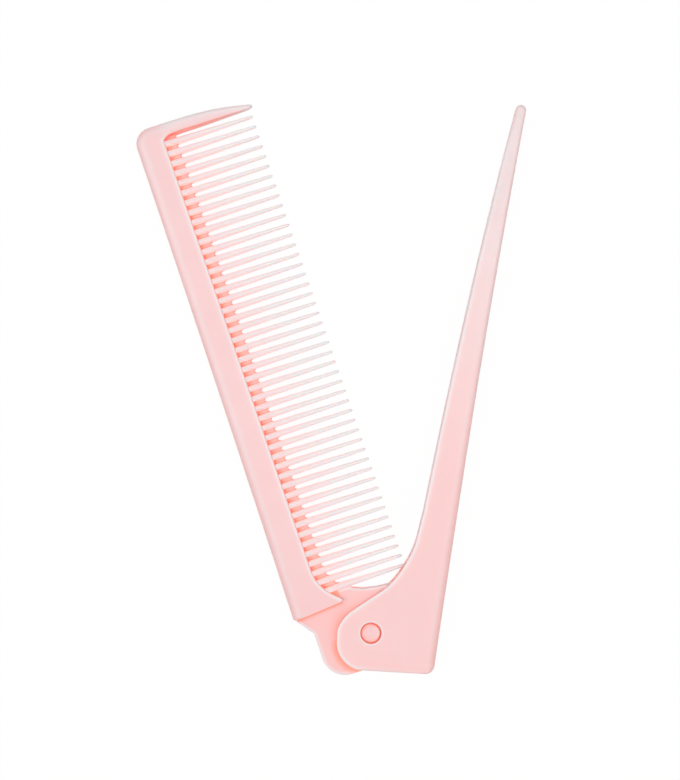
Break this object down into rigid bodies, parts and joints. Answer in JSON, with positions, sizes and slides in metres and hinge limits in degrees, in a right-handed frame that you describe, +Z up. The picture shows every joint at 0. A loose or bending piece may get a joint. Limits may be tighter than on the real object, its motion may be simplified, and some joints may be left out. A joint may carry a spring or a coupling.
{
  "type": "folding comb",
  "caption": "Folding pocket comb: a fine-toothed comb swings on a pin between the two cheeks of a slotted handle with a pointed tail, modelled lying flat and part open.",
  "frame": {"origin": "middle of the object's footprint, on the plane it lies on", "axes": "+Z up out of the flat faces, along the hinge axis; +Y along the length, from the hinge end to the free ends; +X to the handle's side"},
  "size_m": [0.0854, 0.1249, 0.005],
  "materials": {
    "comb_plastic": "satin moulded pink plastic",
    "strip_plastic": "satin, thin and lit through",
    "tooth_plastic": "satin, pale",
    "tongue_plastic": "satin moulded pink plastic",
    "pin_plastic": "satin",
    "handle_plastic": "satin moulded pink plastic"
  },
  "bodies": {
    "handle": {"front_cheek": "handle_plastic", "back_cheek": "handle_plastic", "handle_web": "handle_plastic", "tail_point": "handle_plastic"},
    "comb": {"comb_spine": "comb_plastic", "tooth_web": "strip_plastic", "comb_teeth": "tooth_plastic", "end_guard": "comb_plastic", "hinge_tongue": "tongue_plastic", "hinge_pin": "pin_plastic"}
  },
  "joints": [
    {"name": "comb_fold", "type": "hinge", "parent": "handle", "child": "comb", "pos_m": [0.00868, -0.05308, 0], "axis": [0, 0, 1], "range_deg": [-27, 153]}
  ]
}
